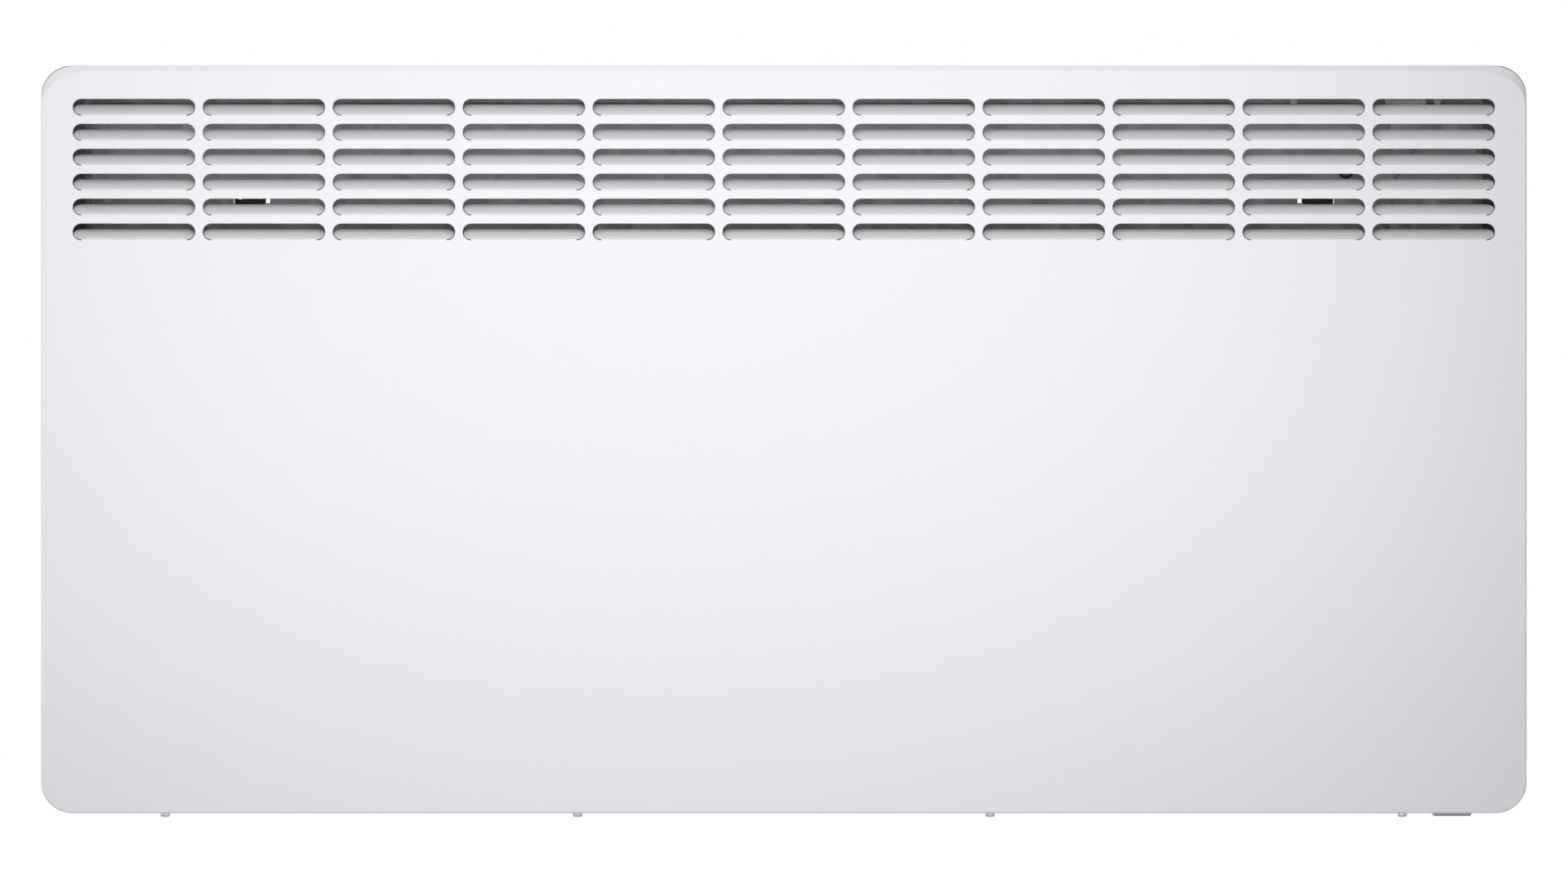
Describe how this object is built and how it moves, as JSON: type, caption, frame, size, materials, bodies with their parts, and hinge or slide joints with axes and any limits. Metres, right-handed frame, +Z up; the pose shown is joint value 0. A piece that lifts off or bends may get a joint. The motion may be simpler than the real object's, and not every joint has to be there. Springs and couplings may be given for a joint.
{
  "type": "wall panel convector heater",
  "caption": "Flat steel wall panel heater with a louvred front, finned element inside, top control unit and mains switch below, hung on a wall bracket it tilts from.",
  "frame": {"origin": "middle of the four wall screws, on the wall plane, at half the casing's height", "axes": "+X to the right as seen from the front, +Z up, +Y into the wall, so the front faces -Y"},
  "size_m": [0.894, 0.1, 0.4522],
  "materials": {
    "white_powder_coat": "fine-grained satin powder coat",
    "galvanised_sheet": "galvanised sheet, matt grey",
    "aluminised_sheet": "aluminised sheet, dull",
    "zinc_plate": "bright zinc plate",
    "sheath_steel": "dull stainless sheath",
    "fin_aluminium": "plain mill finish",
    "white_ceramic": "unglazed",
    "tinned_brass": "tinned",
    "black_plastic": "fine spark texture",
    "grey_plastic": "fine spark texture",
    "switch_plastic": "satin moulded",
    "control_plastic": "satin moulded",
    "key_plastic": "satin moulded",
    "clear_window": "smoked clear plastic",
    "display_module": "dark display face",
    "circuit_board": "green solder resist",
    "switch_can": "moulded",
    "pale_terminal": "moulded",
    "suppressor_yellow": "moulded",
    "cutout_body": "moulded thermoset on a metal cap",
    "lead_brown": "extruded insulation",
    "lead_earth": "extruded insulation, green and yellow",
    "lead_grey": "extruded insulation",
    "ribbon_grey": "flat cable insulation",
    "connector_cream": "moulded",
    "sensor_resin": "cast resin bead"
  },
  "bodies": {
    "wall_bracket": {"bracket_upright_left": "galvanised_sheet", "bracket_upright_right": "galvanised_sheet", "bracket_crossbar": "galvanised_sheet", "bracket_rivets": "zinc_plate"},
    "heater": {"front_panel": "white_powder_coat", "casing_shell": "white_powder_coat", "rear_panel": "galvanised_sheet", "bottom_straps": "galvanised_sheet", "element_bracket_left": "galvanised_sheet", "element_bracket_right": "galvanised_sheet", "front_heat_shield": "aluminised_sheet", "rear_heat_shield": "aluminised_sheet", "bottom_screws": "zinc_plate", "rear_screws": "zinc_plate", "shield_screws": "zinc_plate", "earth_screw": "zinc_plate", "heating_tube": "sheath_steel", "heating_fins": "fin_aluminium", "heat_sink": "fin_aluminium", "element_bushes": "white_ceramic", "element_terminals": "tinned_brass", "switch_terminals": "tinned_brass", "catch_left": "black_plastic", "catch_right": "black_plastic", "cable_gland": "black_plastic", "relay": "black_plastic", "sensor_clip": "black_plastic", "power_box": "grey_plastic", "power_box_cover": "grey_plastic", "switch_housing": "switch_plastic", "control_housing": "control_plastic", "control_base": "control_plastic", "display_window": "clear_window", "display_module": "display_module", "power_board": "circuit_board", "control_board": "circuit_board", "key_switches": "switch_can", "terminal_block": "pale_terminal", "suppressor": "suppressor_yellow", "safety_cutout": "cutout_body", "element_leads": "lead_brown", "cutout_leads": "lead_brown", "switch_leads": "lead_brown", "earth_lead": "lead_earth", "sensor_lead": "lead_grey", "ribbon_cable": "ribbon_grey", "ribbon_connector": "connector_cream", "ribbon_plug": "connector_cream", "room_sensor": "sensor_resin"},
    "rocker": {"rocker": "black_plastic"},
    "key_minus": {"key_minus": "key_plastic"},
    "key_plus": {"key_plus": "key_plastic"},
    "key_menu": {"key_menu": "key_plastic"},
    "key_power": {"key_power": "key_plastic"}
  },
  "joints": [
    {"name": "heater_tilt", "type": "hinge", "parent": "wall_bracket", "child": "heater", "pos_m": [0, -0.0256, -0.18], "axis": [1, 0, 0], "range_deg": [0, 20]},
    {"name": "rocker_switch", "type": "hinge", "parent": "heater", "child": "rocker", "pos_m": [0.4028, -0.06, -0.2185], "axis": [1, 0, 0], "range_deg": [0, 16]},
    {"name": "key_minus_press", "type": "slide", "parent": "heater", "child": "key_minus", "axis": [0, 0, -1], "range_m": [0, 0.0005], "stiffness_N_per_m": 600, "springref_m": -0.0002},
    {"name": "key_plus_press", "type": "slide", "parent": "heater", "child": "key_plus", "axis": [0, 0, -1], "range_m": [0, 0.0005], "stiffness_N_per_m": 600, "springref_m": -0.0002},
    {"name": "key_menu_press", "type": "slide", "parent": "heater", "child": "key_menu", "axis": [0, 0, -1], "range_m": [0, 0.0005], "stiffness_N_per_m": 600, "springref_m": -0.0002},
    {"name": "key_power_press", "type": "slide", "parent": "heater", "child": "key_power", "axis": [0, 0, -1], "range_m": [0, 0.0005], "stiffness_N_per_m": 600, "springref_m": -0.0002}
  ]
}
